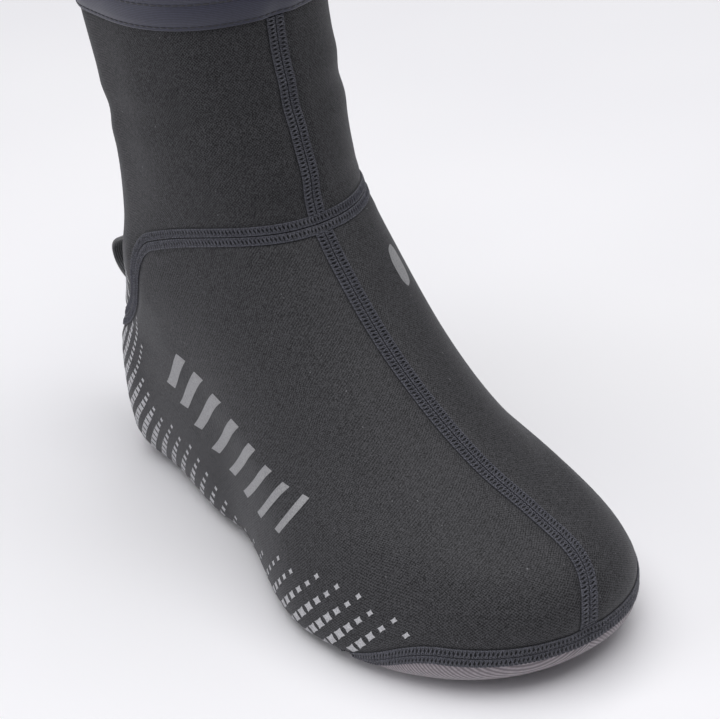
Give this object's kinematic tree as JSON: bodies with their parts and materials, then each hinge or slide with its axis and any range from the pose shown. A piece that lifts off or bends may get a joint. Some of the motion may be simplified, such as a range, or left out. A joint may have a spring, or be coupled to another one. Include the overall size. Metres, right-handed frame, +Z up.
{
  "type": "cycling overshoe",
  "caption": "Black neoprene cycling overshoe for the right foot: ankle shaft with navy collar, flatlock seams, grey wrapped-up sole panel with openings, and a heel pull loop.",
  "frame": {"origin": "on the floor, under the middle of the shoe's bounding box", "axes": "+X to the toe, +Y to the inner side of the foot, +Z up"},
  "size_m": [0.3232, 0.1264, 0.2627],
  "materials": {
    "neoprene": "matte knitted face over foam rubber",
    "collar_cloth": "smooth elastic cloth",
    "sole_cloth": "coarse ribbed wear-resistant cloth",
    "seam_thread": "flat stitched thread",
    "webbing": "woven tape"
  },
  "bodies": {
    "root": {"upper": "neoprene", "shaft": "neoprene", "collar_band": "collar_cloth", "sole_panel": "sole_cloth", "ankle_seam": "seam_thread", "toe_seam": "seam_thread", "heel_seam": "seam_thread", "front_seam_foot": "seam_thread", "front_seam_shaft": "seam_thread", "pull_loop": "webbing"}
  },
  "joints": []
}
